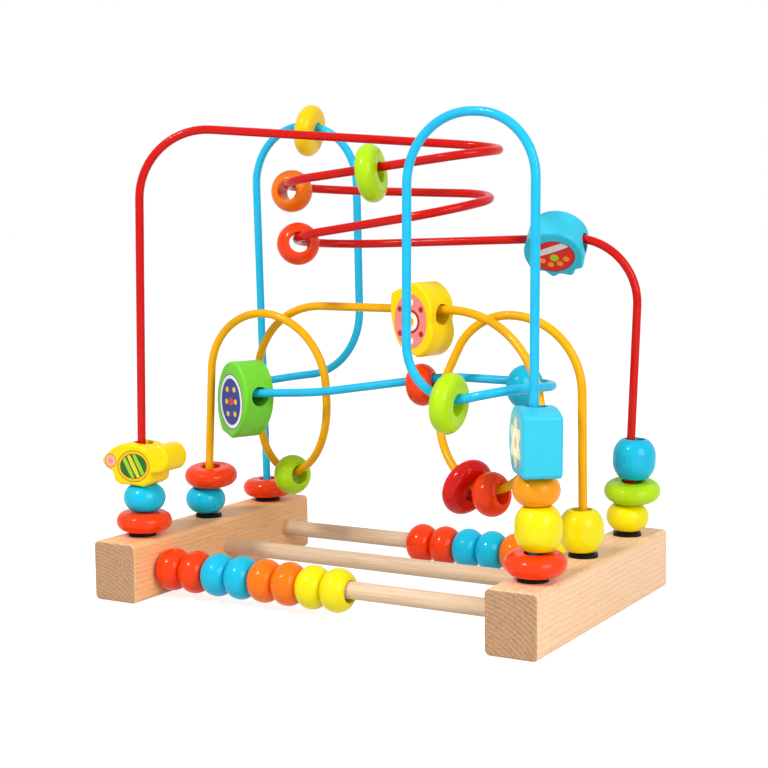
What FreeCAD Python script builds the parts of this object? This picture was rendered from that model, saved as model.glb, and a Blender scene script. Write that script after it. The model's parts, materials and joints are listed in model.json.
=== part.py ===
# Bead maze: two wooden blocks joined by three rods, three looped steel wires that
# stand on the blocks, and the wooden beads threaded on the wires and the rods.
# Millimetres. X runs from block to block, Y along the blocks to the back, Z up.
# The origin is at the bottom centre.
import FreeCAD, Part
import math
import os
import Sketcher

os.makedirs("parts", exist_ok=True)
doc = FreeCAD.newDocument("BeadMaze")
sheet = doc.addObject("Spreadsheet::Sheet", "Sizes")

sizes = (
    # blocks
    ("base_length", "186"),
    ("base_width", "30"),
    ("base_height", "35"),
    ("base_gap", "226"),
    ("base_edge_radius", "3"),
    ("base_end_radius", "1.5"),
    ("row_margin", "27"),
    ("row_spacing", "=(base_length - 2 * row_margin) / 2"),
    # rods between the blocks
    ("rod_diameter", "10"),
    ("rod_height", "17.5"),
    ("rod_socket_depth", "10"),
    ("rod_fit", "0.1"),
    ("rod_chamfer", "0.8"),
    # wires and the rings where they enter the blocks
    ("wire_diameter", "5"),
    ("wire_height", "290"),
    ("wire_foot", "7"),
    ("wire_socket_depth", "20"),
    ("wire_fit", "0.1"),
    ("collar_diameter", "16.6"),
    ("collar_thickness", "2.5"),
    ("collar_edge_radius", "0.8"),
    ("sleeve_wall", "2"),
    ("sleeve_length", "10"),
    ("sleeve_fit", "0.1"),
    # turned beads
    ("round_diameter", "25"),
    ("round_length", "15.8"),
    ("round_end_diameter", "14.5"),
    ("disc_diameter", "33"),
    ("disc_length", "11.5"),
    ("disc_end_diameter", "22.5"),
    ("barrel_diameter", "25"),
    ("barrel_length", "23.5"),
    ("barrel_end_diameter", "15"),
    ("barrel_shoulder_share", "0.97"),
    ("barrel_shoulder_radius", "=barrel_shoulder_share * barrel_diameter / 2"),
    ("barrel_shoulder_drop", "=(barrel_diameter - barrel_end_diameter) / 2"),
    ("barrel_shoulder_length",
     "=sqrt(barrel_shoulder_drop * (2 * barrel_shoulder_radius - barrel_shoulder_drop))"),
    ("rod_bead_diameter", "25"),
    ("rod_bead_length", "16"),
    ("rod_bead_end_diameter", "15.5"),
    ("wire_bead_hole", "11.6"),
    ("rod_bead_hole", "12.6"),
    ("hole_chamfer", "0.5"),
    # flat lobed beads cut from board
    ("board_thickness", "21"),
    ("board_corner_radius", "2.5"),
    ("board_edge_radius", "1.8"),
    ("board_hole", "12"),
    ("yellow_post_board_length", "26"),
    ("yellow_post_board_width", "49"),
    ("yellow_board_length", "32"),
    ("yellow_board_width", "44"),
    ("green_board_length", "35"),
    ("green_board_width", "48"),
    ("blue_board_length", "36"),
    ("blue_board_width", "35"),
    ("sky_board_length", "36"),
    ("sky_board_width", "37"),
    # gap between pieces that rest on each other
    ("rest_gap", "0.3"),
)
for row, (alias, value) in enumerate(sizes, 1):
    sheet.set(f"A{row}", alias)
    sheet.set(f"B{row}", value)
    sheet.setAlias(f"B{row}", alias)
doc.recompute()


def size(alias):
    return float(sheet.get(alias))


# Derived places that several pieces share.
post_reach = (size("base_gap") + size("base_width")) / 2
collar_top = size("base_height") + size("collar_thickness")
foot_height = size("base_height") + size("wire_foot")
up = FreeCAD.Vector(0, 0, 1)
along_rod = FreeCAD.Vector(1, 0, 0)


# Each wire climbs a post on the left block, loops across and goes down a post on the
# right block. Its rows are the posts' places along the blocks, in row spacings. A bend
# is (across, along, height, bend): shares of the posts' reach, of the row spacing and
# of the wire height, and the share of the shorter run beside it that the bend takes.
foot_bend_share = 0.2
most_bent_share = 0.999
red_bend_shares = (
    (-0.96, -1, 0.955, 0.19),
    (0.595, 0.485, 0.90, 0.60),
    (0.615, -0.485, 0.885, 0.36),
    (-0.455, -0.485, 0.835, 0.48),
    (-0.415, 0.485, 0.825, 0.48),
    (0.53, 0.485, 0.81, 0.48),
    (0.51, -0.485, 0.78, 0.48),
    (-0.40, -0.485, 0.725, 0.48),
    (-0.385, 0.485, 0.71, 0.48),
    (1.055, 1, 0.725, 0.24),
)
blue_bend_shares = (
    (-1.04, 1, 1, 0.58),
    (-0.435, 1, 0.945, 0.38),
    (-0.42, 1, 0.435, 0.58),
    (-0.92, 1, 0.405, 0.38),
    (-0.92, -0.135, 0.395, 0.47),
    (-0.31, -0.105, 0.41, 0.15),
    (0.31, 0.105, 0.45, 0.15),
    (0.94, 0.15, 0.445, 0.48),
    (0.88, -1, 0.46, 0.36),
    (0.42, -1, 0.41, 0.60),
    (0.435, -1, 0.96, 0.52),
    (1.015, -1, 0.945, 0.44),
)
yellow_bend_shares = (
    (-0.94, 0, 0.615, 0.60),
    (-0.33, 0.06, 0.525, 0.45),
    (-0.34, 0.15, 0.28, 0.43),
    (-0.845, 0.575, 0.16, 0.55),
    (-0.795, 0.18, 0.585, 0.45),
    (0.88, -0.12, 0.585, 0.57),
    (0.91, -0.635, 0.20, 0.50),
    (0.215, -0.15, 0.315, 0.57),
    (0.50, -0.06, 0.585, 0.38),
    (0.99, 0, 0.565, 0.60),
)


def wire_corners(bend_shares, left_row, right_row):
    """The wire's corners with the share that each bend takes, from end to end."""
    end_height = size("base_height") - size("wire_socket_depth")
    spacing = size("row_spacing")
    left = [(FreeCAD.Vector(-post_reach, left_row * spacing, level), share)
            for level, share in ((end_height, 0), (foot_height, foot_bend_share))]
    right = [(FreeCAD.Vector(post_reach, right_row * spacing, level), share)
             for level, share in ((foot_height, foot_bend_share), (end_height, 0))]
    height = size("wire_height")
    middle = [(FreeCAD.Vector(across * post_reach, along * spacing, level * height), share)
              for across, along, level, share in bend_shares]
    return left + middle + right


def bend_setbacks(corners):
    """How far from each corner its bend starts. Bends that meet on a run share it out."""
    lengths = [(there - here).Length for (here, _), (there, _) in zip(corners, corners[1:])]
    setbacks = [0]
    for (_, share), before, after in zip(corners[1:], lengths, lengths[1:]):
        setbacks.append(share * min(before, after))
    setbacks.append(0)
    for place, length in enumerate(lengths):
        both = setbacks[place] + setbacks[place + 1]
        fit = min(1, most_bent_share * length / both)
        setbacks[place] *= fit
        setbacks[place + 1] *= fit
    return setbacks[1:-1]


def wire_stretches(corners):
    """Straight runs and tangent arcs in turn: run 0, bend 1, run 1, bend 2 and so on."""
    places = [place for place, _ in corners]
    stretches = []
    start = places[0]
    for before, corner, after, setback in zip(places, places[1:], places[2:], bend_setbacks(corners)):
        back = (before - corner).normalize()
        ahead = (after - corner).normalize()
        half_turn = (math.pi - back.getAngle(ahead)) / 2
        radius = setback / math.tan(half_turn)
        inward = (back + ahead).normalize()
        entry = corner + back * setback
        leave = corner + ahead * setback
        middle = corner + inward * (math.hypot(radius, setback) - radius)
        stretches.append(Part.LineSegment(start, entry).toShape())
        stretches.append(Part.Arc(entry, middle, leave).toShape())
        start = leave
    stretches.append(Part.LineSegment(start, places[-1]).toShape())
    return stretches


wire_rows = (
    ("red_wire", red_bend_shares, -1, 1),
    ("blue_wire", blue_bend_shares, 1, -1),
    ("yellow_wire", yellow_bend_shares, 0, 0),
)
corners_of = {name: wire_corners(shares, left, right) for name, shares, left, right in wire_rows}
stretches_of = {name: wire_stretches(corners) for name, corners in corners_of.items()}


def run(number):
    return 2 * number


def bend(number):
    return 2 * number - 1


def is_arc(stretch):
    return stretch.Curve.TypeId == "Part::GeomCircle"


def spot_on(stretch, share):
    """Point and direction at a share of the way along a run or an arc."""
    first = stretch.FirstParameter
    here = first + share * (stretch.LastParameter - first)
    return stretch.valueAt(here), stretch.tangentAt(here)


# Sketches and bodies.
parallel_share = 0.999
same_level_share = 0.1
spots_on_edge = 5


def new_body(label):
    body = doc.addObject("PartDesign::Body", label)
    body.Label = label
    return body


def origin_feature(body, role):
    return next(feature for feature in body.Origin.OriginFeatures if feature.Role == role)


def new_sketch(body, name, role, lift=None):
    """A sketch on one of the body's own planes, lifted off it by a sheet expression."""
    sketch = body.newObject("Sketcher::SketchObject", f"{body.Label}_{name}")
    sketch.AttachmentSupport = (origin_feature(body, role), "")
    sketch.MapMode = "FlatFace"
    if lift:
        sketch.setExpression(".AttachmentOffset.Base.z", lift)
    return sketch


def hold_point(sketch, geometry, end, spot):
    """Binds a point of the sketch to the sheet, by an expression for each coordinate."""
    for kind, expression in zip(("DistanceX", "DistanceY"), spot):
        value = float(sketch.evalExpression(expression))
        index = sketch.addConstraint(Sketcher.Constraint(kind, geometry, end, value))
        sketch.setExpression(f"Constraints[{index}]", expression)


def draw_outline(sketch, points):
    """A closed outline. A corner is (x, y) in sheet expressions, and (x, y, "via") between
    two corners makes the edge there an arc through that point."""
    spots = [FreeCAD.Vector(*(float(sketch.evalExpression(text)) for text in point[:2]), 0)
             for point in points]
    corners = [place for place, point in enumerate(points) if len(point) == 2]
    ends = []
    for here, there in zip(corners, corners[1:] + corners[:1]):
        via = here + 1
        if via % len(points) == there:
            edge = sketch.addGeometry(Part.LineSegment(spots[here], spots[there]), False)
        else:
            edge = sketch.addGeometry(Part.Arc(spots[here], spots[via], spots[there]), False)
            guide = sketch.addGeometry(Part.Point(spots[via]), True)
            hold_point(sketch, guide, 1, points[via][:2])
            sketch.addConstraint(Sketcher.Constraint("PointOnObject", guide, 1, edge))
        start, finish = sorted(
            (1, 2), key=lambda end: sketch.getPoint(edge, end).distanceToPoint(spots[here]))
        hold_point(sketch, edge, start, points[here][:2])
        ends.append((edge, start, finish))
    for (edge, _, finish), (following, start, _) in zip(ends, ends[1:] + ends[:1]):
        sketch.addConstraint(Sketcher.Constraint("Coincident", edge, finish, following, start))


def draw_circle(sketch, across, along, diameter):
    """A circle bound to the sheet by its centre and its diameter."""
    spot = [float(sketch.evalExpression(text)) for text in (across, along)]
    radius = float(sketch.evalExpression(diameter)) / 2
    circle = sketch.addGeometry(Part.Circle(FreeCAD.Vector(*spot, 0), up, radius), False)
    hold_point(sketch, circle, 3, (across, along))
    index = sketch.addConstraint(Sketcher.Constraint("Diameter", circle, 2 * radius))
    sketch.setExpression(f"Constraints[{index}]", diameter)


def pad(body, sketch, length, symmetric=False):
    feature = body.newObject("PartDesign::Pad", f"{sketch.Name}_pad")
    feature.Profile = sketch
    feature.setExpression("Length", length)
    feature.SideType = "Symmetric" if symmetric else "One side"
    return feature


def round_edges(body, base, chosen, radius):
    """Rounds the edges of the base feature that the chooser picks."""
    doc.recompute()
    names = [f"Edge{number}" for number, edge in enumerate(base.Shape.Edges, 1) if chosen(edge)]
    feature = body.newObject("PartDesign::Fillet", f"{base.Name}_round")
    feature.Base = (base, names)
    feature.setExpression("Radius", radius)
    return feature


def is_straight_along(edge, direction):
    if edge.Curve.TypeId != "Part::GeomLine":
        return False
    return abs(edge.tangentAt(edge.FirstParameter).dot(direction)) > parallel_share


def lies_in_plane(edge, axis, level):
    """True where the whole edge lies in the plane across the axis at that level."""
    spots = edge.discretize(spots_on_edge)
    return all(abs(spot.dot(axis) - level) < same_level_share * size("rest_gap") for spot in spots)


# The blocks, with blind sockets for the rods and stepped sockets for the wires.
def socket_row(body, name, role, lift, across, along, diameter, depth):
    """Three blind holes in a row along the block, one row spacing apart."""
    sketch = new_sketch(body, name, role, lift)
    draw_circle(sketch, across, along, diameter)
    hole = body.newObject("PartDesign::Pocket", f"{sketch.Name}_hole")
    hole.Profile = sketch
    hole.setExpression("Length", depth)
    row = body.newObject("PartDesign::LinearPattern", f"{sketch.Name}_row")
    row.Originals = [hole]
    row.Direction = (origin_feature(body, "Y_Axis"), [""])
    row.setExpression("Length", "2 * Sizes.row_spacing")
    row.Occurrences = 3
    body.Tip = row
    doc.recompute()
    return row


def make_block(label, place, turn):
    body = new_body(label)
    plan = new_sketch(body, "plan", "XY_Plane")
    draw_outline(plan, [(f"{side} * Sizes.base_width / 2", f"{end} * Sizes.base_length / 2")
                        for side, end in ((-1, -1), (1, -1), (1, 1), (-1, 1))])
    blank = pad(body, plan, "Sizes.base_height")
    along = FreeCAD.Vector(0, 1, 0)
    long_edges = round_edges(body, blank, lambda edge: is_straight_along(edge, along),
                             "Sizes.base_edge_radius")
    half = size("base_length") / 2
    round_edges(body, long_edges,
                lambda edge: lies_in_plane(edge, along, half) or lies_in_plane(edge, along, -half),
                "Sizes.base_end_radius")
    socket_row(body, "rod_socket", "YZ_Plane", "Sizes.base_width / 2",
               "-Sizes.row_spacing", "Sizes.rod_height",
               "Sizes.rod_diameter + 2 * Sizes.rod_fit", "Sizes.rod_socket_depth")
    socket_row(body, "sleeve_socket", "XY_Plane", "Sizes.base_height",
               "0", "-Sizes.row_spacing",
               "Sizes.wire_diameter + 2 * (Sizes.wire_fit + Sizes.sleeve_wall + Sizes.sleeve_fit)",
               "Sizes.sleeve_length + Sizes.rest_gap")
    socket_row(body, "wire_socket", "XY_Plane", "Sizes.base_height",
               "0", "-Sizes.row_spacing",
               "Sizes.wire_diameter + 2 * Sizes.wire_fit", "Sizes.wire_socket_depth")
    body.setExpression(".Placement.Base.x", place)
    body.Placement.Rotation = FreeCAD.Rotation(up, turn)
    return body


def make_rod(label, row):
    body = new_body(label)
    section = new_sketch(body, "section", "YZ_Plane")
    draw_circle(section, "0", "0", "Sizes.rod_diameter")
    blank = pad(body, section, "Sizes.base_gap + 2 * Sizes.rod_socket_depth", symmetric=True)
    doc.recompute()
    rims = [f"Edge{number}" for number, edge in enumerate(blank.Shape.Edges, 1)
            if is_arc(edge)]
    chamfer = body.newObject("PartDesign::Chamfer", f"{label}_chamfer")
    chamfer.Base = (blank, rims)
    chamfer.setExpression("Size", "Sizes.rod_chamfer")
    body.setExpression(".Placement.Base.y", f"{row} * Sizes.row_spacing")
    body.setExpression(".Placement.Base.z", "Sizes.rod_height")
    return body


def revolve(body, sketch, axis):
    feature = body.newObject("PartDesign::Revolution", f"{sketch.Name}_turned")
    feature.Profile = sketch
    feature.ReferenceAxis = (sketch, [axis])
    return feature


def make_collar(label, side, row):
    """A ring on the block's top with a sleeve round the wire in the block."""
    body = new_body(label)
    profile = new_sketch(body, "profile", "XZ_Plane")
    bore = "Sizes.wire_diameter / 2 + Sizes.wire_fit"
    sleeve = f"{bore} + Sizes.sleeve_wall"
    draw_outline(profile, [
        (bore, "-Sizes.sleeve_length"),
        (sleeve, "-Sizes.sleeve_length"),
        (sleeve, "0"),
        ("Sizes.collar_diameter / 2", "0"),
        ("Sizes.collar_diameter / 2", "Sizes.collar_thickness - Sizes.collar_edge_radius"),
        ("Sizes.collar_diameter / 2 - Sizes.collar_edge_radius", "Sizes.collar_thickness"),
        (bore, "Sizes.collar_thickness"),
    ])
    revolve(body, profile, "V_Axis")
    body.setExpression(".Placement.Base.x", f"{side} * (Sizes.base_gap + Sizes.base_width) / 2")
    body.setExpression(".Placement.Base.y", f"{row} * Sizes.row_spacing")
    body.setExpression(".Placement.Base.z", "Sizes.base_height")
    return body


def make_wire(name):
    """A round bar swept along the straight runs and tangent arcs of its route."""
    stretches = stretches_of[name]
    spine = doc.addObject("Part::Feature", f"{name}_route")
    spine.Shape = Part.Wire(stretches)
    section = doc.addObject("Part::Circle", f"{name}_section")
    section.setExpression("Radius", "Sizes.wire_diameter / 2")
    section.Placement.Base = corners_of[name][0][0]
    wire = doc.addObject("Part::Sweep", name)
    wire.Sections = [section]
    wire.Spine = (spine, [f"Edge{number}" for number in range(1, len(stretches) + 1)])
    wire.Solid = True
    wire.Label = name
    doc.recompute()
    length = spine.Shape.Length
    bar = math.pi * size("wire_diameter") ** 2 / 4 * length
    radii = [round(stretch.Curve.Radius, 1) for stretch in stretches[1::2]]
    print(name, "length", round(length, 1), "volume share", round(wire.Shape.Volume / bar, 4))
    print(name, "bend radii", radii)
    return wire


# Turned beads: flat ends round the hole and a rounded side.
def turned_side(kind):
    """The side between the two flats: one arc, or a barrel's two shoulders and its waist."""
    widest = f"Sizes.{kind}_diameter / 2"
    if kind != "barrel":
        return [("0", widest, "via")]
    end = "Sizes.barrel_length / 2"
    shoulder = "Sizes.barrel_shoulder_length"
    radius = "Sizes.barrel_shoulder_radius"
    over = f"{widest} - {radius} + sqrt({radius} ^ 2 - ({shoulder} / 2) ^ 2)"
    return [
        (f"{end} - {shoulder} / 2", over, "via"),
        (f"{end} - {shoulder}", widest),
        (f"{shoulder} - {end}", widest),
        (f"{shoulder} / 2 - {end}", over, "via"),
    ]


def make_turned_bead(label, kind, placement):
    body = new_body(label)
    profile = new_sketch(body, "profile", "XY_Plane")
    hole = "Sizes.rod_bead_hole / 2" if kind == "rod_bead" else "Sizes.wire_bead_hole / 2"
    half = f"Sizes.{kind}_length / 2"
    flat = f"Sizes.{kind}_end_diameter / 2"
    draw_outline(profile, [
        (f"-{half} + Sizes.hole_chamfer", hole),
        (f"{half} - Sizes.hole_chamfer", hole),
        (half, f"{hole} + Sizes.hole_chamfer"),
        (half, flat),
        *turned_side(kind),
        (f"-{half}", flat),
        (f"-{half}", f"{hole} + Sizes.hole_chamfer"),
    ])
    revolve(body, profile, "H_Axis")
    body.Placement = placement
    return body


# Board beads: a lobed outline cut from board, with a hole from edge to edge. A point of
# an outline is in shares of the length along the hole and of the width across it.
yellow_post_outline_shares = (
    (0.01, 0.48),
    (0.33, 0.31, "via"),
    (0.48, 0.06),
    (0.44, -0.12),
    (0.36, -0.20),
    (0.15, -0.50, "via"),
    (-0.15, -0.35),
    (-0.18, -0.25),
    (-0.38, -0.24),
    (-0.50, -0.14),
    (-0.48, 0.05),
    (-0.50, 0.20),
    (-0.42, 0.29),
    (-0.22, 0.31),
    (-0.14, 0.41),
)
yellow_outline_shares = (
    (-0.48, 0.28),
    (0.07, 0.42),
    (0.40, 0.24, "via"),
    (0.45, -0.09),
    (0.48, -0.30, "via"),
    (0.12, -0.56),
    (-0.30, -0.42),
    (-0.48, -0.10, "via"),
)
green_outline_shares = (
    (-0.30, 0.32),
    (0.05, 0.45, "via"),
    (0.36, 0.32),
    (0.49, 0.02, "via"),
    (0.30, -0.36),
    (0.14, -0.47, "via"),
    (-0.06, -0.54),
    (-0.36, -0.45),
    (-0.49, -0.08, "via"),
)
blue_outline_shares = (
    (-0.48, -0.10),
    (-0.02, 0.50, "via"),
    (0.49, -0.08),
    (0.44, -0.31),
    (0.31, -0.34),
    (0.25, -0.48),
    (0.05, -0.42),
    (-0.08, -0.50),
    (-0.20, -0.36),
    (-0.42, -0.33),
)
sky_outline_shares = (
    (0.38, -0.48),
    (-0.50, -0.48),
    (-0.50, 0.22),
    (0, 0.50, "via"),
    (0.45, 0.24),
    (0.48, 0.05, "via"),
)


def make_board_bead(label, kind, outline_shares, placement):
    body = new_body(label)
    outline = new_sketch(body, "outline", "XY_Plane")
    draw_outline(outline, [
        (f"{along} * Sizes.{kind}_length", f"{across} * Sizes.{kind}_width", *via)
        for along, across, *via in outline_shares])
    blank = pad(body, outline, "Sizes.board_thickness", symmetric=True)
    corners = round_edges(body, blank, lambda edge: is_straight_along(edge, up),
                          "Sizes.board_corner_radius")
    half = size("board_thickness") / 2
    round_edges(body, corners,
                lambda edge: lies_in_plane(edge, up, half) or lies_in_plane(edge, up, -half),
                "Sizes.board_edge_radius")
    section = new_sketch(body, "hole", "YZ_Plane")
    draw_circle(section, "0", "0", "Sizes.board_hole")
    hole = body.newObject("PartDesign::Pocket", f"{label}_bore")
    hole.Profile = section
    hole.Type = "ThroughAll"
    hole.SideType = "Symmetric"
    body.Placement = placement
    return body


# Where the beads are. A bead hangs on its wire or rod, so that the top of its hole is a
# rest gap off the bar, and its axis follows the bar.
def threaded(middle, axis, facing, turn=0):
    """Placement of a bead with its hole along the axis and its face towards the facing
    direction, turned about the axis."""
    pose = FreeCAD.Rotation(axis, FreeCAD.Vector(0, 0, 0), facing, "XZY")
    return FreeCAD.Placement(middle, FreeCAD.Rotation(axis, turn) * pose)


def hang(point, axis, hole, bar, length, centre=None, skew=0):
    """The middle of a bead that hangs on a bar at that point. On an arc the ends of the hole
    are drawn in towards the arc's centre, which takes some of the play, and so does the
    skew, which is how many degrees the bead is turned off the bar about the vertical."""
    slant = math.radians(skew)
    free = (hole - bar / math.cos(slant)) / 2 - size("rest_gap")
    play = math.sqrt(free ** 2 - (length / 2 * math.tan(slant)) ** 2)
    down = (axis * axis.z - up).normalize()
    if centre is None:
        return point + down * play
    inward = centre - point
    radius = inward.Length
    inward.normalize()
    sagitta = radius - math.sqrt(radius ** 2 - length ** 2 / 4)
    tilt = sagitta * abs(down.dot(inward)) / 2
    drop = math.sqrt(tilt ** 2 + play ** 2 - sagitta ** 2 / 4) - tilt
    return point + inward * (sagitta / 2) + down * drop


board_outlines = {
    "yellow_post_board": yellow_post_outline_shares,
    "yellow_board": yellow_outline_shares,
    "green_board": green_outline_shares,
    "blue_board": blue_outline_shares,
    "sky_board": sky_outline_shares,
}


def make_bead(label, kind, placement):
    if kind in board_outlines:
        return make_board_bead(label, kind, board_outlines[kind], placement)
    return make_turned_bead(label, kind, placement)


# Beads on the open stretches of the wires: label, kind, wire, stretch, share of it, the
# turn about the wire and the skew off it, both in degrees.
wire_bead_shares = (
    ("red_wire_green_disc", "disc", "red_wire", run(4), 0.51, 0, 12),
    ("red_wire_orange_bead", "round", "red_wire", bend(5), 0.83, 0, 0),
    ("red_wire_red_bead", "round", "red_wire", bend(9), 0.56, 0, 0),
    ("red_wire_blue_block", "blue_board", "red_wire", run(10), 0.92, 40, 0),
    ("blue_wire_yellow_disc", "disc", "blue_wire", bend(2), 0.98, 0, 10),
    ("blue_wire_green_block", "green_board", "blue_wire", bend(6), 0.74, 0, 0),
    ("blue_wire_red_bead", "round", "blue_wire", run(7), 0.94, 0, 0),
    ("blue_wire_blue_bead", "round", "blue_wire", bend(9), 0.10, 0, 0),
    ("blue_wire_green_disc", "disc", "blue_wire", bend(11), 0.18, 0, 0),
    ("yellow_wire_green_bead", "round", "yellow_wire", bend(5), 0.18, 0, 0),
    ("yellow_wire_yellow_block", "yellow_board", "yellow_wire", run(6), 0.80, 0, -7),
    ("yellow_wire_dark_red_disc", "disc", "yellow_wire", bend(9), 0.02, 0, 0),
    ("yellow_wire_red_bead", "round", "yellow_wire", bend(8), 0.76, 0, 0),
)


def make_wire_beads():
    for label, kind, wire, number, share, turn, skew in wire_bead_shares:
        stretch = stretches_of[wire][number]
        point, axis = spot_on(stretch, share)
        centre = stretch.Curve.Center if is_arc(stretch) else None
        hole = size("board_hole" if kind in board_outlines else "wire_bead_hole")
        middle = hang(point, axis, hole, size("wire_diameter"), size(f"{kind}_length"), centre, skew)
        pose = threaded(middle, axis, axis.cross(up), turn)
        make_bead(label, kind, FreeCAD.Placement(middle, FreeCAD.Rotation(up, skew) * pose.Rotation))


# Beads stacked on the posts, from the collar up: label, kind, how far the bead lies to one
# side as a share of its play, its tilt and the heading of its face, both in degrees.
lean_heading = 30
post_stack_shares = (
    ("red_wire", "left", (
        ("left_front_red_disc", "disc", 0.4, 0, 0),
        ("left_front_blue_bead", "round", 0.5, 0, 0),
        ("left_front_yellow_block", "yellow_post_board", 0.3, 0, -87))),
    ("yellow_wire", "left", (
        ("left_middle_blue_bead", "round", -0.6, 0, 0),
        ("left_middle_red_disc", "disc", 0.5, 6, 0))),
    ("blue_wire", "left", (
        ("left_back_red_disc", "disc", 0.2, 0, 0),)),
    ("blue_wire", "right", (
        ("right_front_red_disc", "disc", 0.5, 3, 0),
        ("right_front_yellow_barrel", "barrel", 0.9, 0, 0),
        ("right_front_orange_bead", "round", 0.5, 0, 0),
        ("right_front_sky_block", "sky_board", 0.3, 0, -143))),
    ("yellow_wire", "right", (
        ("right_middle_yellow_barrel", "barrel", -0.3, 0, 0),)),
    ("red_wire", "right", (
        ("right_back_yellow_bead", "round", 0, 0, 0),
        ("right_back_green_disc", "disc", 0.9, 7, 0),
        ("right_back_blue_barrel", "barrel", 0.8, 0, 0))),
)


def post_of(wire, side):
    """The foot bend of the post and the direction in which the post rises."""
    places = [place for place, _ in corners_of[wire]]
    if side == "right":
        places.reverse()
    _, foot, above, *_ = places
    return foot, (above - foot).normalize()


def make_post_stacks():
    heading = FreeCAD.Rotation(up, lean_heading).multVec(along_rod)
    for wire, side, beads in post_stack_shares:
        base, axis = post_of(wire, side)
        level = collar_top - foot_height
        for label, kind, lean_share, tilt, face_heading in beads:
            hole = size("board_hole" if kind in board_outlines else "wire_bead_hole")
            half = size(f"{kind}_length") / 2
            slope = math.radians(tilt)
            play = (hole - size("wire_diameter")) / 2 - size("rest_gap") - half * math.tan(slope)
            raised = half
            if tilt:
                raised += (size("round_end_diameter") / 2 + play) * math.sin(slope)
            if level < 0:
                raised += size("collar_diameter") / 2 * math.hypot(axis.x, axis.y)
            level += size("rest_gap") + raised
            middle = base + axis * level + heading * (lean_share * play)
            facing = FreeCAD.Rotation(up, face_heading).multVec(along_rod)
            pose = threaded(middle, axis, facing)
            lean = FreeCAD.Rotation(facing, tilt)
            make_bead(label, kind, FreeCAD.Placement(middle, lean * pose.Rotation))
            level += raised


# Eight beads on the front rod, pushed to the left, and eight on the rear rod, pushed to
# the right, in the same order of colours.
rod_colours = ("red", "blue", "orange", "yellow")
beads_per_colour = 2


def make_rod_beads():
    pitch = size("rod_bead_length") + size("rest_gap")
    count = len(rod_colours) * beads_per_colour
    point_level = FreeCAD.Vector(0, 0, size("rod_height"))
    left_end = pitch / 2 + size("rest_gap") / 2 - size("base_gap") / 2
    right_start = -left_end - (count - 1) * pitch
    for rod, row, start in (("front_rod", -1, left_end), ("rear_rod", 1, right_start)):
        for place in range(count):
            colour = rod_colours[place // beads_per_colour]
            label = f"{rod}_{colour}_bead_{place % beads_per_colour + 1}"
            across = FreeCAD.Vector(start + place * pitch, row * size("row_spacing"), 0)
            middle = hang(across + point_level, along_rod, size("rod_bead_hole"),
                          size("rod_diameter"), size("rod_bead_length"))
            make_bead(label, "rod_bead", threaded(middle, along_rod, up))


make_block("left_block", "-(Sizes.base_gap + Sizes.base_width) / 2", 0)
make_block("right_block", "(Sizes.base_gap + Sizes.base_width) / 2", 180)
for place, row in (("front", -1), ("middle", 0), ("rear", 1)):
    make_rod(f"{place}_rod", row)
    for side_name, side in (("left", -1), ("right", 1)):
        make_collar(f"{side_name}_{place}_collar", side, row)
for name, _, _, _ in wire_rows:
    make_wire(name)
make_wire_beads()
make_post_stacks()
make_rod_beads()
doc.recompute()


# Every object has to be sound before anything is written.
kept = [item for item in doc.Objects if item.TypeId in ("PartDesign::Body", "Part::Sweep")]
for item in doc.Objects:
    if "Invalid" in item.State or "Error" in item.State:
        raise RuntimeError(f"{item.Label}: {item.State}")
for item in kept:
    if item.Shape.isNull() or not item.Shape.isValid() or len(item.Shape.Solids) != 1:
        raise RuntimeError(f"{item.Label}: unsound shape")
for item in kept:
    item.Shape.exportStep(f"parts/{item.Label}.step")
print(len(kept), "pieces written")
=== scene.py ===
import json
import math

import bmesh
import bpy
import numpy as np
from mathutils import Matrix, Vector

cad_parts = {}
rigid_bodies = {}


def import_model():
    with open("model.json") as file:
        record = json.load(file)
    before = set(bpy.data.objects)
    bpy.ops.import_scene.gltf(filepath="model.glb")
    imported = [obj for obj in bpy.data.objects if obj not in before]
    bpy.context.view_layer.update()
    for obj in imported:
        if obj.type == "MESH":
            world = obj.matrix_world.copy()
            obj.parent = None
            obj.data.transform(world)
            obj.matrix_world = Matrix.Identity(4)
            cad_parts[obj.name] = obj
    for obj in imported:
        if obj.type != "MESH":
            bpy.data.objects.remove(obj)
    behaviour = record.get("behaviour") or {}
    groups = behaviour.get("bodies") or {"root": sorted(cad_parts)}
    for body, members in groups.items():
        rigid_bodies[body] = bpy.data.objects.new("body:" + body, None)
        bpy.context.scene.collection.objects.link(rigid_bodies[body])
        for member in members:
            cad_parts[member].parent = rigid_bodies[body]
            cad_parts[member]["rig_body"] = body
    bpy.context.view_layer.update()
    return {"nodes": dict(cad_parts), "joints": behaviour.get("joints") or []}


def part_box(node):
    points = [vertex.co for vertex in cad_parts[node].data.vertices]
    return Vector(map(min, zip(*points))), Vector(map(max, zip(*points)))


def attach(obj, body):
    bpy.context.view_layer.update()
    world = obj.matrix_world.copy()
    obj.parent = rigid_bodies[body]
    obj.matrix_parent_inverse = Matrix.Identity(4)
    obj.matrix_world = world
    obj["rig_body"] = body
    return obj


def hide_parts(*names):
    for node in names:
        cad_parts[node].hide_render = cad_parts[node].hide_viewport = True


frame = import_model()
nodes = frame["nodes"]
print("frame loaded:", len(nodes), "nodes")

mm = 0.001


# helpers for colours, nodes and objects
def linearColour(hexText):
    # the sRGB curve
    channels = [int(hexText[i:i + 2], 16) / 255 for i in (1, 3, 5)]
    return (*[c / 12.92 if c <= 0.04045 else ((c + 0.055) / 1.055) ** 2.4 for c in channels], 1)


def shadeOf(hexText, share):
    # the same colour with each channel times a share
    channels = [min(255, round(int(hexText[i:i + 2], 16) * share)) for i in (1, 3, 5)]
    return "#%02X%02X%02X" % tuple(channels)


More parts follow.
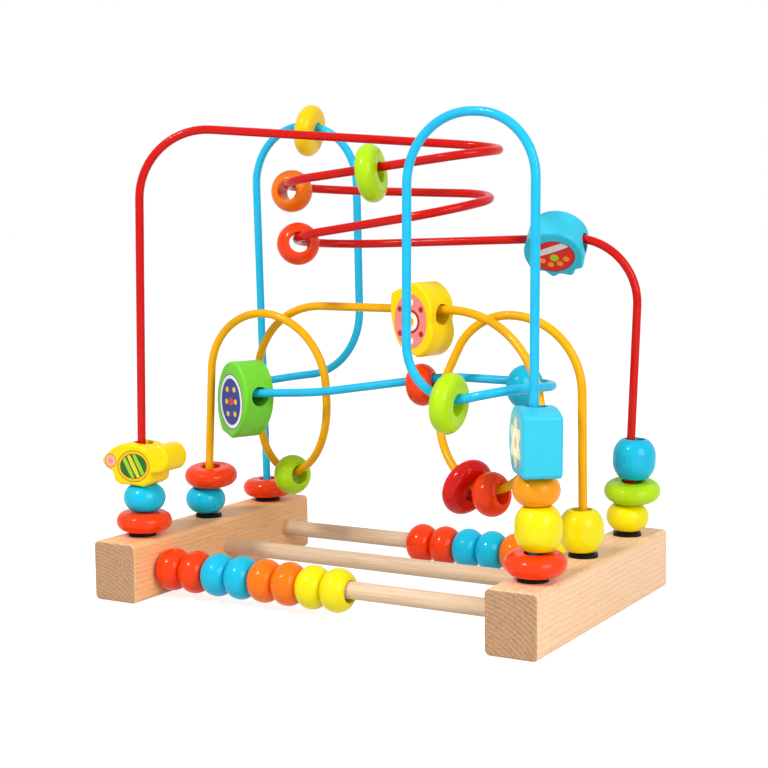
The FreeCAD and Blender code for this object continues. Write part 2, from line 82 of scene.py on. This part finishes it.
def addNode(tree, kind, settings=None, links=None):
    # a setting is a property of the node, the two stops of a ramp, or the value of a socket
    node = tree.nodes.new(kind)
    for name, value in (settings or {}).items():
        if name == "stops":
            for (place, colour), element in zip(value, list(node.color_ramp.elements)):
                element.position, element.color = place, linearColour(colour)
        elif isinstance(name, str) and hasattr(node, name):
            setattr(node, name, value)
        else:
            node.inputs[name].default_value = value
    for name, source in (links or {}).items():
        tree.links.new(source, node.inputs[name])
    return node


def rampBetween(tree, places, colours, share):
    # the first colour up to the first place, and the second from the second place on
    return addNode(tree, "ShaderNodeValToRGB", {"stops": list(zip(places, colours))},
                   {"Fac": share}).outputs["Color"]


def maskBetween(tree, limits, most, value):
    # 0 up to the first limit, and the most from the second on
    return addNode(tree, "ShaderNodeMapRange",
                   {"From Min": limits[0], "From Max": limits[1], "To Max": most},
                   {"Value": value}).outputs[0]


def tinted(tree, share, colour, tint):
    return addNode(tree, "ShaderNodeMix",
                   {"data_type": "RGBA", "blend_type": "MULTIPLY", 7: linearColour(tint)},
                   {0: share, 6: colour}).outputs[2]


def relief(tree, strength, depth, height):
    # the depth in mm
    return addNode(tree, "ShaderNodeBump", {"Strength": strength, "Distance": depth * mm},
                   {"Height": height}).outputs[0]


def newMaterial(name):
    material = bpy.data.materials.new(name)
    material.use_nodes = True
    tree = material.node_tree
    tree.nodes.clear()
    return material, tree


def finishMaterial(tree, settings, links):
    shader = addNode(tree, "ShaderNodeBsdfPrincipled", settings, links)
    addNode(tree, "ShaderNodeOutputMaterial", {}, {"Surface": shader.outputs["BSDF"]})


def addObject(name, data):
    added = bpy.data.objects.new(name, data)
    bpy.context.scene.collection.objects.link(added)
    return added


def pieceName(kind, node):
    return kind + "".join(word.capitalize() for word in node.split("_"))


# oil, lacquer, enamel and plastic all bend light about alike
lacquerIor = 1.5

# woods
blockWood = {
    # the pith's entry moves the rings' centre to zero, in metres
    # both blocks are one beech: the right block's paler long tone is painted light, for the
    # stronger light on its outer face, and the left block's deeper orange long tone is painted
    # shade
    "left": {"long": "#FFD09A", "streak": "#F8BC86", "pith": (0.145, 0, 0.03)},
    "right": {"long": "#FFDFBA", "streak": "#FACDA2", "pith": (-0.105, 0, 0.025)},
    "end": "#C8A07C", "endDark": "#B48A66",
    "ringTint": "#F6ECE0", "fleckTint": "#A8683A", "poreTint": "#8E6A4C",
    # these two lines in mm
    "ringSpacing": 2.4, "ringWander": 6, "wanderSize": 71.43,
    "fibre": 0.9, "fibreDepth": 0.15, "fleck": 0.84615, "pore": 1.1111,
    # where a pattern starts and where it is full
    "streaks": (0.3, 0.72), "flecks": (0.63, 0.72), "rings": (0.15, 0.9), "pores": (0.45, 0.7),
    "endGrain": (0.55, 0.85),
    "fibreStretch": 0.03, "fleckStretch": 0.16, "ringDistortion": 1.2,
    "fleckDepth": 0.25, "poreDepth": 0.3, "relief": 0.12,
    "roughness": (0.36, 0.52), "specular": 0.2,
}
# a saw-tooth wave of scale 1 has a ring every 0.314 of a metre
waveSpacing = 0.314


def makeBlockWood(side):
    # beech, sawn and sanded, with a thin satin oil: long streaks and short dark flecks along
    # the block, growth rings on its ends, which drink more oil and look darker
    wood, board = blockWood, blockWood[side]
    material, tree = newMaterial(f"beech block, {side}")
    place = addNode(tree, "ShaderNodeTexCoord").outputs["Object"]
    centred = addNode(tree, "ShaderNodeMapping", {"Location": board["pith"]},
                      {"Vector": place}).outputs[0]
    wander = addNode(tree, "ShaderNodeTexNoise",
                     {"Scale": 1 / (wood["wanderSize"] * mm), "Detail": 2},
                     {"Vector": centred}).outputs["Color"]
    bent = addNode(tree, "ShaderNodeVectorMath",
                   {"operation": "MULTIPLY_ADD", 1: (wood["ringWander"] * mm,) * 3},
                   {0: wander, 2: centred}).outputs[0]
    rings = addNode(tree, "ShaderNodeTexWave",
                    {"wave_type": "RINGS", "rings_direction": "Y", "wave_profile": "SAW",
                     "Scale": waveSpacing / (wood["ringSpacing"] * mm),
                     "Distortion": wood["ringDistortion"], "Detail": 2, "Detail Scale": 2.5},
                    {"Vector": bent}).outputs["Fac"]
    alongBlock = addNode(tree, "ShaderNodeMapping", {"Scale": (1, wood["fibreStretch"], 1)},
                         {"Vector": place}).outputs[0]
    fibre = addNode(tree, "ShaderNodeTexNoise",
                    {"Scale": 1 / (wood["fibre"] * mm), "Detail": 4, "Roughness": 0.65},
                    {"Vector": alongBlock}).outputs["Fac"]
    dashes = addNode(tree, "ShaderNodeMapping", {"Scale": (1, wood["fleckStretch"], 1)},
                     {"Vector": place}).outputs[0]
    fleck = addNode(tree, "ShaderNodeTexNoise", {"Scale": 1 / (wood["fleck"] * mm), "Detail": 1},
                    {"Vector": dashes}).outputs["Fac"]
    # the long sides take their block's own tone, which holds painted light on the right block and
    # painted shade on the left
    longTone = rampBetween(tree, wood["streaks"], (board["streak"], board["long"]), fibre)
    ringTone = tinted(tree, rings, longTone, wood["ringTint"])
    fleckMask = maskBetween(tree, wood["flecks"], wood["fleckDepth"], fleck)
    longSide = tinted(tree, fleckMask, ringTone, wood["fleckTint"])
    pores = addNode(tree, "ShaderNodeTexNoise", {"Scale": 1 / (wood["pore"] * mm), "Detail": 2},
                    {"Vector": place}).outputs["Fac"]
    endTone = rampBetween(tree, wood["rings"], (wood["end"], wood["endDark"]), rings)
    poreMask = maskBetween(tree, wood["pores"], wood["poreDepth"], pores)
    endSide = tinted(tree, poreMask, endTone, wood["poreTint"])
    # the block lies along Y, so its ends face that way
    facing = addNode(tree, "ShaderNodeSeparateXYZ", {},
                     {"Vector": addNode(tree, "ShaderNodeNewGeometry").outputs["Normal"]})
    towardsEnd = addNode(tree, "ShaderNodeMath", {"operation": "ABSOLUTE"},
                         {0: facing.outputs["Y"]}).outputs[0]
    endMask = maskBetween(tree, wood["endGrain"], 1, towardsEnd)
    colour = addNode(tree, "ShaderNodeMix", {"data_type": "RGBA"},
                     {0: endMask, 6: longSide, 7: endSide}).outputs[2]
    smoothest, roughest = wood["roughness"]
    rough = addNode(tree, "ShaderNodeMapRange", {"To Min": smoothest, "To Max": roughest},
                    {"Value": fibre}).outputs[0]
    finishMaterial(tree, {"IOR": lacquerIor, "Specular IOR Level": wood["specular"]},
                   {"Base Color": colour, "Roughness": rough,
                    "Normal": relief(tree, wood["relief"], wood["fibreDepth"], fibre)})
    return material


rodWood = {
    "pale": "#EBD0B2", "dark": "#D6B48E", "streaks": (0.3, 0.65),
    "fibre": 0.8, "fibreDepth": 0.12,     # in mm
    "fibreStretch": 0.025, "relief": 0.15, "roughness": 0.45, "specular": 0.2,
}


def makeRodWood():
    # birch dowel, machine rounded and left bare: pale, with fine straight fibres
    material, tree = newMaterial("birch, rounded dowel")
    place = addNode(tree, "ShaderNodeTexCoord").outputs["Object"]
    alongRod = addNode(tree, "ShaderNodeMapping", {"Scale": (rodWood["fibreStretch"], 1, 1)},
                       {"Vector": place}).outputs[0]
    fibre = addNode(tree, "ShaderNodeTexNoise",
                    {"Scale": 1 / (rodWood["fibre"] * mm), "Detail": 4, "Roughness": 0.6},
                    {"Vector": alongRod}).outputs["Fac"]
    tone = rampBetween(tree, rodWood["streaks"], (rodWood["dark"], rodWood["pale"]), fibre)
    finishMaterial(tree, {"Roughness": rodWood["roughness"], "IOR": lacquerIor,
                          "Specular IOR Level": rodWood["specular"]},
                   {"Base Color": tone,
                    "Normal": relief(tree, rodWood["relief"], rodWood["fibreDepth"], fibre)})
    return material


# coats, lacquers and plastic
coatGloss = {
    "roughness": 0.3, "specular": 0.05, "coatRoughness": 0.05,
    "clouds": (0.3, 0.7), "relief": 0.05,
}


def makeCoat(name, hexText, finish):
    # the pattern reads the object's own place, so that it stays on the piece
    material, tree = newMaterial(name)
    place = addNode(tree, "ShaderNodeTexCoord").outputs["Object"]
    cloud = addNode(tree, "ShaderNodeTexNoise", {"Scale": 1 / (finish["cloud"] * mm), "Detail": 3},
                    {"Vector": place}).outputs["Fac"]
    shades = (shadeOf(hexText, 1 - finish["mottle"]), shadeOf(hexText, 1 + finish["mottle"]))
    skin = addNode(tree, "ShaderNodeTexNoise", {"Scale": 1 / (finish["peel"] * mm), "Detail": 2},
                   {"Vector": place}).outputs["Fac"]
    finishMaterial(tree, {"Roughness": coatGloss["roughness"], "IOR": lacquerIor,
                          "Specular IOR Level": coatGloss["specular"],
                          "Coat Weight": finish["coat"],
                          "Coat Roughness": coatGloss["coatRoughness"]},
                   {"Base Color": rampBetween(tree, coatGloss["clouds"], shades, cloud),
                    "Normal": relief(tree, coatGloss["relief"], finish["peelDepth"], skin)})
    return material


# spring steel wire, dipped in gloss enamel: thick, smooth, with a slight orange peel
wireColours = {"red": "#CC0A04", "blue": "#1EBAE6", "yellow": "#F0AE00"}
# clouds, peel and its depth in mm
wireFinish = {"coat": 0.25, "mottle": 0.02, "cloud": 6, "peel": 1.4, "peelDepth": 0.1}
wireCoats = {colour: makeCoat(f"steel wire, {colour} gloss enamel", hexText, wireFinish)
             for colour, hexText in wireColours.items()}

# polypropylene ring, moulded: black with a soft shine
ringFinish = {"coat": 0.2, "mottle": 0.1, "cloud": 6, "peel": 0.5, "peelDepth": 0.05}
ringPlastic = makeCoat("polypropylene, moulded black", "#0B0B0D", ringFinish)

beadColours = {
    "red_lacquer": "#F43E04", "dark_red_lacquer": "#D81208", "orange_lacquer": "#FA7802",
    "yellow_lacquer": "#F2E200", "green_lacquer": "#B4E008", "blue_lacquer": "#0EBCE0",
}
# two beads come from other batches of lacquer and are nearer to gold and to amber
beadBatches = {"blue_wire_yellow_disc": "#FFCC00", "right_front_orange_bead": "#FC9C06"}
beadGloss = {
    "roughness": 0.32, "specular": 0.05, "coat": 0.3, "coatRoughness": 0.08,
    "grain": 1.3, "grainDepth": 0.1, "cloud": 7,               # in mm
    "grainStretch": 0.12, "relief": 0.1, "clouds": (0.3, 0.6), "cloudShade": 0.985,
}


def makeBeadLacquer(name, hexText):
    # turned hardwood, tumbled in gloss lacquer: the grain only shows as faint long waves in
    # the shine, along each bead's own axis
    material, tree = newMaterial(name)
    local = addNode(tree, "ShaderNodeAttribute", {"attribute_name": "grain"}).outputs["Vector"]
    stretched = addNode(tree, "ShaderNodeMapping", {"Scale": (beadGloss["grainStretch"], 1, 1)},
                        {"Vector": local}).outputs[0]
    grain = addNode(tree, "ShaderNodeTexNoise",
                    {"Scale": 1 / (beadGloss["grain"] * mm), "Detail": 3},
                    {"Vector": stretched}).outputs["Fac"]
    cloud = addNode(tree, "ShaderNodeTexNoise",
                    {"Scale": 1 / (beadGloss["cloud"] * mm), "Detail": 2},
                    {"Vector": local}).outputs["Fac"]
    shades = (shadeOf(hexText, beadGloss["cloudShade"]), hexText)
    finishMaterial(tree, {"Roughness": beadGloss["roughness"], "IOR": lacquerIor,
                          "Specular IOR Level": beadGloss["specular"],
                          "Coat Weight": beadGloss["coat"],
                          "Coat Roughness": beadGloss["coatRoughness"]},
                   {"Base Color": rampBetween(tree, beadGloss["clouds"], shades, cloud),
                    "Normal": relief(tree, beadGloss["relief"], beadGloss["grainDepth"], grain)})
    return material


beadLacquers = {key: makeBeadLacquer(f"turned beech, {key.replace('_', ' ')}", hexText)
                for key, hexText in (beadColours | beadBatches).items()}
print("materials made")


# the fixed frame keeps its own meshes and gets better materials
def dress(node, material):
    nodes[node].data.materials[0] = material


for side in ("left", "right"):
    dress(f"{side}_block", makeBlockWood(side))
dowel = makeRodWood()
for row in ("front", "middle", "rear"):
    dress(f"{row}_rod", dowel)
    for side in ("left", "right"):
        dress(f"{side}_{row}_collar", ringPlastic)
for colour, coat in wireCoats.items():
    dress(f"{colour}_wire", coat)


# where a bead is and which way its hole runs
def bodyOf(node):
    return nodes[node]["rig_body"]


def holeDirection(node):
    # along the slide, or across the hinge's arm where the bead swings round a bend
    joint = next(j for j in frame["joints"] if j["child"] == bodyOf(node))
    axis = Vector(joint["axis"])
    if joint["type"] == "slide":
        return axis.normalized()
    lowest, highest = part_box(node)
    return axis.cross((lowest + highest) / 2 - Vector(joint["pos_m"])).normalized()


def putInPlaceOf(node, bead):
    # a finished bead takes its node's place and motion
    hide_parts(node)
    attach(bead, bodyOf(node))


def symmetryAxis(node):
    # a turned bead spreads differently along its hole than across it
    mesh = nodes[node].data
    areas = np.array([p.area for p in mesh.polygons])
    middles = np.array([p.center[:] for p in mesh.polygons])
    centre = (areas[:, None] * middles).sum(0) / areas.sum()
    offset = middles - centre
    values, vectors = np.linalg.eigh((areas[:, None] * offset).T @ offset)
    lone = 0 if values[1] - values[0] > values[2] - values[1] else 2
    return Vector(centre), Vector(vectors[:, lone])


# turned beads: a profile is spun round the hole, and its rims and lips are rounded over
turnedKinds = {
    # in mm: widest, along the hole, flat ring at each end, hole, how far the rim is rounded, and
    # the radius of a barrel's shoulders
    "round": {"diameter": 25, "length": 15.8, "flat": 14.5, "hole": 11.6, "rim": 0.65},
    "disc": {"diameter": 33, "length": 11.5, "flat": 22.5, "hole": 11.6, "rim": 0},
    "barrel": {"diameter": 25, "length": 23.5, "flat": 15, "hole": 11.6, "rim": 0.8,
               "shoulder": 12.125},
    "rodBead": {"diameter": 25, "length": 16, "flat": 15.5, "hole": 12.6, "rim": 0.65},
}
beadFinish = {
    "steps": 72, "sideSteps": 20, "lipSegments": 4,
    "lip": 0.7, "sameSpot": 0.001, "onRim": 0.01,     # in mm
    "grainShift": 0.11,                               # keeps the grain of two beads apart
}


def arcFrom(bm, start, centre, angle, steps):
    # turns a point into an arc of edges and gives back its far end
    spun = bmesh.ops.spin(bm, geom=[start], cent=centre, axis=(0, 0, 1), dvec=(0, 0, 0),
                          angle=angle, steps=steps, use_merge=False, use_normal_flip=False)
    return next(item for item in spun["geom_last"] if isinstance(item, bmesh.types.BMVert))


def makeTurnedTemplate(kind):
    data = turnedKinds[kind]
    half, flat = data["length"] / 2, data["flat"] / 2
    hole, widest = data["hole"] / 2, data["diameter"] / 2
    bm = bmesh.new()
    start = bm.verts.new((half, flat, 0))
    drop = widest - flat
    if "shoulder" in data:
        radius = data["shoulder"]
        reach = math.sqrt(drop * (2 * radius - drop))
        turn = math.asin(reach / radius)
        steps = beadFinish["sideSteps"] // 2
        shoulder = arcFrom(bm, start, (half - reach, widest - radius, 0), turn, steps)
        waist = bm.verts.new((reach - half, widest, 0))
        bm.edges.new((shoulder, waist))
        end = arcFrom(bm, waist, (reach - half, widest - radius, 0), turn, steps)
    else:
        radius = (half * half + drop * drop) / (2 * drop)
        turn = 2 * math.asin(half / radius)
        end = arcFrom(bm, start, (0, widest - radius, 0), turn, beadFinish["sideSteps"])
    inner = [bm.verts.new((x, hole, 0)) for x in (-half, half)]
    for a, b in ((end, inner[0]), (inner[0], inner[1]), (inner[1], start)):
        bm.edges.new((a, b))
    bmesh.ops.spin(bm, geom=bm.verts[:] + bm.edges[:], cent=(0, 0, 0), axis=(1, 0, 0),
                   dvec=(0, 0, 0), angle=math.tau, steps=beadFinish["steps"], use_merge=True,
                   use_normal_flip=False)
    bmesh.ops.remove_doubles(bm, verts=bm.verts, dist=beadFinish["sameSpot"])
    bmesh.ops.recalc_face_normals(bm, faces=bm.faces)

    def isRim(edge, radius):
        return all(abs(abs(v.co.x) - half) < beadFinish["onRim"]
                   and abs(math.hypot(v.co.y, v.co.z) - radius) < beadFinish["onRim"]
                   for v in edge.verts)

    for radius, width in ((flat, data["rim"]), (hole, beadFinish["lip"])):
        rims = [edge for edge in bm.edges if width and isRim(edge, radius)]
        bmesh.ops.bevel(bm, geom=rims, offset=width, affect="EDGES", profile=0.5, material=-1,
                        segments=beadFinish["lipSegments"], offset_type="OFFSET")
    bmesh.ops.recalc_face_normals(bm, faces=bm.faces)
    for face in bm.faces:
        face.smooth = True
    bmesh.ops.scale(bm, vec=(mm, mm, mm), verts=bm.verts)
    mesh = bpy.data.meshes.new(kind)
    bm.to_mesh(mesh)
    bm.free()
    return mesh


turnedTemplates = {kind: makeTurnedTemplate(kind) for kind in turnedKinds}


def kindOf(node):
    if "_rod_" in node:
        return "rodBead"
    ending = node.rsplit("_", 1)[1]
    return {"bead": "round", "disc": "disc", "barrel": "barrel"}[ending]


def makeTurnedBead(node, number):
    centre, axis = symmetryAxis(node)
    across = axis.orthogonal().normalized()
    turn = Matrix((axis, across, axis.cross(across))).transposed().to_4x4()
    mesh = turnedTemplates[kindOf(node)].copy()
    grain = mesh.attributes.new("grain", "FLOAT_VECTOR", "POINT")
    places = np.array([v.co[:] for v in mesh.vertices], np.float32)
    shifted = places + np.float32(beadFinish["grainShift"] * number)
    grain.data.foreach_set("vector", shifted.ravel())
    mesh.transform(Matrix.Translation(centre) @ turn)
    slot = nodes[node].data.materials[0].name
    mesh.materials.append(beadLacquers[node if node in beadBatches else slot])
    putInPlaceOf(node, addObject(pieceName("turned", node), mesh))


turnedNodes = sorted(n for n in nodes if n.endswith(("_bead", "_disc", "_barrel")) or "_rod_" in n)
for number, node in enumerate(turnedNodes):
    makeTurnedBead(node, number)
print("turned beads made:", len(turnedNodes))


# board beads: sawn from board, lacquered all over, with a printed motif on both faces
def spots(places, radius, colour):
    # round spots of one size and colour
    return [{"at": place, "radii": (radius, radius), "turn": 0, "colour": colour}
            for place in places]


# each layer is an oval in mm from the board's middle, later ones lie over earlier ones, and
# a layer that is inside another, counted from the first, shows only there
boardBeads = {
    # an oval with slanting bands, and a pink spot at the other end
    "left_front_yellow_block": [
        {"at": (-0.8, 0.5), "radii": (9.6, 11.8), "turn": 8, "colour": "#7A4A12"},
        {"at": (-0.8, 0.5), "radii": (9.2, 11.4), "turn": 8, "colour": "#F3BC10"},
        {"at": (-0.8, 0.5), "radii": (7.6, 9.8), "turn": 8, "colour": "#7A4A12"},
        {"at": (-0.8, 0.5), "radii": (7.2, 9.4), "turn": 8, "colour": "#1F6B2C"},
        {"at": (-0.8, -3.8), "radii": (11, 1.4), "turn": 30, "colour": "#9CCB2E", "inside": 3},
        {"at": (-0.8, 0.5), "radii": (11, 1.4), "turn": 30, "colour": "#E8D22A", "inside": 3},
        {"at": (-0.8, 4.8), "radii": (11, 1.4), "turn": 30, "colour": "#9CCB2E", "inside": 3},
        *spots([(1.2, 17)], 4.3, "#7A4A12"),
        *spots([(1.2, 17)], 3.9, "#F2B294"),
        *spots([(1.2, 17)], 1.7, "#E98C86"),
    ],
    # a red spot with a ring of orange dots, and a pale band
    "red_wire_blue_block": [
        {"at": (0, -1), "radii": (13.2, 11.6), "turn": 20, "colour": "#8A0F1C"},
        {"at": (0, -1), "radii": (12.6, 11), "turn": 20, "colour": "#E02A22"},
        {"at": (0, 4.5), "radii": (20, 2.2), "turn": 20, "colour": "#DADFE2", "inside": 1},
        *spots([(-7, -4), (-2.5, -7), (3, -6.5), (7.2, -3)], 1.9, "#F99B20"),
        *spots([(0.4, -2)], 2.6, "#A9D21E"),
    ],
    # a pink field with a dark red ring, and white and dark red dots round it
    "yellow_wire_yellow_block": [
        {"at": (0, -1), "radii": (12.5, 16), "turn": 0, "colour": "#F08A7E"},
        *spots([(0, -1)], 7, "#B5212B"),
        *spots([(0, -1)], 5.4, "#FFF6EA"),
        *spots([(0, -1)], 2.6, "#F2B11C"),
        *spots([(0, 10), (0, -12)], 2.2, "#FFF6EA"),
        *spots([(-8, 6), (8, 6), (-8, -8), (8, -8)], 1.7, "#B5212B"),
    ],
    # a navy oval with yellow dots in two rows inside a white ring
    "blue_wire_green_block": [
        {"at": (0, -1), "radii": (13.4, 17.4), "turn": 0, "colour": "#1D2A66"},
        {"at": (0, -1), "radii": (12.8, 16.8), "turn": 0, "colour": "#F2F4F0"},
        {"at": (0, -1), "radii": (10.8, 14.6), "turn": 0, "colour": "#2E3F92"},
        *spots([(-4, 6.5), (4, 6.5), (-5, -1), (5, -1), (-4, -8.5), (4, -8.5)], 1.7, "#F7C81A"),
        *spots([(0, -1)], 2.4, "#E0352B"),
    ],
    # a cream disc of overlapping petals with small red dots
    "right_front_sky_block": [
        *[{"at": (-1, 0), "radii": (13.5, 5), "turn": turn, "colour": "#F6EFA8"}
          for turn in (0, 60, 120)],
        *spots([(-1, 0)], 7.4, "#FFFDF4"),
        *spots([(-1, 0)], 3.4, "#F5C74A"),
        *spots([(9.5, 8), (9.5, -8), (-11.5, 8), (-11.5, -8)], 1.5, "#E4564C"),
    ],
}
boardFinish = {
    "printFrom": 10.2,      # half of the board less the rounded edge, in mm
    "edgeSoft": 0.03,       # how softly a printed shape ends, as a share of its radius
    "colours": {"yellow_lacquer": "#FFDA00", "blue_lacquer": "#34C6E2", "green_lacquer": "#76D638"},
    "cloudScale": 0.16,                         # patches per mm
    "clouds": (0.3, 0.65), "cloudShade": 0.98, "relief": 0.18,
    "sawScale": (1.6, 0.25, 0.5),               # patches per mm along, across and through
    "sawDepth": 0.12,                           # in mm
    "roughness": 0.36, "specular": 0.08, "coat": 0.16, "coatRoughness": 0.1,
    "sameSpot": 0.002, "sharpFrom": 35, "flatSide": 0.02,     # in mm, in degrees, and a cosine
}
# how many degrees a board is turned off its wire, about the vertical
boardSkews = {"yellow_wire_yellow_block": -7}


def makeBoardLacquer(name, hexText, layers):
    # beech board, sawn, sanded and sprayed with gloss lacquer: faint saw marks across the
    # sides, and a screen print with crisp edges under the gloss on the two faces
    material, tree = newMaterial(name)
    local = addNode(tree, "ShaderNodeAttribute", {"attribute_name": "onBoard"}).outputs["Vector"]
    parts = addNode(tree, "ShaderNodeSeparateXYZ", {}, {"Vector": local})
    flat = addNode(tree, "ShaderNodeCombineXYZ", {},
                   {"X": parts.outputs["X"], "Y": parts.outputs["Y"]})
    depth = addNode(tree, "ShaderNodeMath", {"operation": "ABSOLUTE"}, {0: parts.outputs["Z"]})
    onFace = addNode(tree, "ShaderNodeMath",
                     {"operation": "GREATER_THAN", 1: boardFinish["printFrom"]},
                     {0: depth.outputs[0]})
    cloud = addNode(tree, "ShaderNodeTexNoise", {"Scale": boardFinish["cloudScale"], "Detail": 3},
                    {"Vector": local}).outputs["Fac"]
    shades = (shadeOf(hexText, boardFinish["cloudShade"]), hexText)
    colour = rampBetween(tree, boardFinish["clouds"], shades, cloud)
    masks = []
    for layer in layers:
        spot = addNode(tree, "ShaderNodeMapping",
                       {"vector_type": "TEXTURE", "Location": (*layer["at"], 0),
                        "Rotation": (0, 0, math.radians(layer["turn"])),
                        "Scale": (*layer["radii"], 1)},
                       {"Vector": flat.outputs[0]})
        distance = addNode(tree, "ShaderNodeVectorMath", {"operation": "LENGTH"},
                           {0: spot.outputs[0]})
        mask = maskBetween(tree, (1, 1 - boardFinish["edgeSoft"]), 1, distance.outputs["Value"])
        within = masks[layer["inside"]] if "inside" in layer else onFace
        both = addNode(tree, "ShaderNodeMath", {"operation": "MULTIPLY"},
                       {0: mask, 1: within.outputs[0]})
        masks.append(both)
        colour = addNode(tree, "ShaderNodeMix",
                         {"data_type": "RGBA", 7: linearColour(layer["colour"])},
                         {0: both.outputs[0], 6: colour}).outputs[2]
    saw = addNode(tree, "ShaderNodeMapping", {"Scale": boardFinish["sawScale"]}, {"Vector": local})
    marks = addNode(tree, "ShaderNodeTexNoise", {"Scale": 1, "Detail": 3},
                    {"Vector": saw.outputs[0]}).outputs["Fac"]
    finishMaterial(tree, {"Roughness": boardFinish["roughness"], "IOR": lacquerIor,
                          "Specular IOR Level": boardFinish["specular"],
                          "Coat Weight": boardFinish["coat"],
                          "Coat Roughness": boardFinish["coatRoughness"]},
                   {"Base Color": colour,
                    "Normal": relief(tree, boardFinish["relief"], boardFinish["sawDepth"], marks)})
    return material


def boardFrame(node):
    # the middle, the hole's direction, across the board, and out of its printed face
    mesh = nodes[node].data
    along = Matrix.Rotation(math.radians(boardSkews.get(node, 0)), 3, "Z") @ holeDirection(node)
    areas = {}
    for polygon in mesh.polygons:
        if abs(polygon.normal.dot(along)) < boardFinish["flatSide"]:
            key = tuple(round(x, 2) for x in polygon.normal)
            areas[key] = areas.get(key, 0) + polygon.area
    out = Vector(max(areas, key=areas.get)).normalized()
    if out.dot(camera.location) < 0:
        out.negate()
    lowest = min(v.co.dot(out) for v in mesh.vertices)
    highest = max(v.co.dot(out) for v in mesh.vertices)
    across = out.cross(along).normalized()
    middle = sum((v.co for v in mesh.vertices), Vector()) / len(mesh.vertices)
    middle += out * ((lowest + highest) / 2 - middle.dot(out))
    for direction in (along, across):
        ends = [v.co.dot(direction) for v in mesh.vertices]
        middle += direction * ((min(ends) + max(ends)) / 2 - middle.dot(direction))
    return middle, along, across, out


def makeBoardBead(node, layers):
    middle, along, across, out = boardFrame(node)
    bm = bmesh.new()
    bm.from_mesh(nodes[node].data)
    bmesh.ops.remove_doubles(bm, verts=bm.verts, dist=boardFinish["sameSpot"] * mm)
    bmesh.ops.recalc_face_normals(bm, faces=bm.faces)
    for face in bm.faces:
        face.smooth = True
    mesh = bpy.data.meshes.new("board " + node)
    bm.to_mesh(mesh)
    bm.free()
    local = Matrix((along, across, out)) * (1 / mm)
    onBoard = mesh.attributes.new("onBoard", "FLOAT_VECTOR", "POINT")
    onBoard.data.foreach_set("vector", [x for v in mesh.vertices for x in local @ (v.co - middle)])
    bead = addObject(pieceName("board", node), mesh)
    mesh.set_sharp_from_angle(angle=math.radians(boardFinish["sharpFrom"]))
    slot = nodes[node].data.materials[0].name
    mesh.materials.append(makeBoardLacquer(f"beech board, printed, {node.replace('_', ' ')}",
                                           boardFinish["colours"][slot], layers))
    putInPlaceOf(node, bead)


# camera at the photograph's view, in metres, degrees and mm of lens
view = {
    "place": (0.462406, -0.791640, 0.222528), "turn": (83.92895, 0.58082, 30.13378),
    "lens": 73.5116, "near": 0.05, "far": 60,
}
camera = addObject("camera", bpy.data.cameras.new("camera"))
camera.location = view["place"]
camera.rotation_euler = [math.radians(a) for a in view["turn"]]
camera.data.lens = view["lens"]
camera.data.clip_start = view["near"]
camera.data.clip_end = view["far"]
bpy.context.scene.camera = camera

for node, layers in boardBeads.items():
    makeBoardBead(node, layers)
print("board beads made:", len(boardBeads))


# floor, world and lamps: a white sweep in plain soft light
studio = {
    "floorHalf": 8, "floorCells": 8, "floorDrop": 0.0002,     # in metres but the cells
    "floorColour": "#D2D2D2", "floorGlow": 0.77, "floorRoughness": 0.9, "floorSpecular": 0.1,
    "worldColour": "#FFFFFF", "worldStrength": 0.44,
    "aim": (0, 0, 0.13),
    "lamps": [
        {"name": "key", "at": (-0.5, -1.3, 1.5), "size": 0.34, "power": 22},
        {"name": "fill", "at": (1.5, -0.7, 0.8), "size": 1.0, "power": 18},
    ],
}


def seenWhite(tree):
    # 1 for the camera and for what glass and gloss show, 0 for the light that falls on things
    path = addNode(tree, "ShaderNodeLightPath")
    seen = addNode(tree, "ShaderNodeMath", {"operation": "ADD", "use_clamp": True},
                   {0: path.outputs["Is Camera Ray"], 1: path.outputs["Is Transmission Ray"]})
    return addNode(tree, "ShaderNodeMath", {"operation": "ADD", "use_clamp": True},
                   {0: seen.outputs[0], 1: path.outputs["Is Glossy Ray"]}).outputs[0]


bm = bmesh.new()
bmesh.ops.create_grid(bm, x_segments=studio["floorCells"], y_segments=studio["floorCells"],
                      size=studio["floorHalf"])
floorMesh = bpy.data.meshes.new("floor")
bm.to_mesh(floorMesh)
bm.free()
floor = addObject("floor", floorMesh)
floor.location.z = -studio["floorDrop"]
floorPaper, tree = newMaterial("paper sweep, matt white")
glow = addNode(tree, "ShaderNodeMath", {"operation": "MULTIPLY", 1: studio["floorGlow"]},
               {0: seenWhite(tree)})
finishMaterial(tree, {"Base Color": linearColour(studio["floorColour"]),
                      "Roughness": studio["floorRoughness"],
                      "Specular IOR Level": studio["floorSpecular"],
                      "Emission Color": linearColour("#FFFFFF")},
               {"Emission Strength": glow.outputs[0]})
floorMesh.materials.append(floorPaper)

world = bpy.data.worlds.new("white studio")
bpy.context.scene.world = world
world.use_nodes = True
tree = world.node_tree
tree.nodes.clear()
soft = addNode(tree, "ShaderNodeBackground",
               {"Color": linearColour(studio["worldColour"]), "Strength": studio["worldStrength"]})
white = addNode(tree, "ShaderNodeBackground", {"Color": linearColour("#FFFFFF"), "Strength": 1})
both = addNode(tree, "ShaderNodeMixShader", {},
               {0: seenWhite(tree), 1: soft.outputs[0], 2: white.outputs[0]})
addNode(tree, "ShaderNodeOutputWorld", {}, {"Surface": both.outputs[0]})

for lamp in studio["lamps"]:
    light = bpy.data.lights.new(lamp["name"], "AREA")
    light.shape = "SQUARE"
    light.size = lamp["size"]
    light.energy = lamp["power"]
    lightObject = addObject(lamp["name"], light)
    lightObject.location = lamp["at"]
    towards = Vector(studio["aim"]) - Vector(lamp["at"])
    lightObject.rotation_euler = towards.to_track_quat("-Z", "Y").to_euler()

bpy.context.scene.view_settings.view_transform = "Standard"
print("studio made")
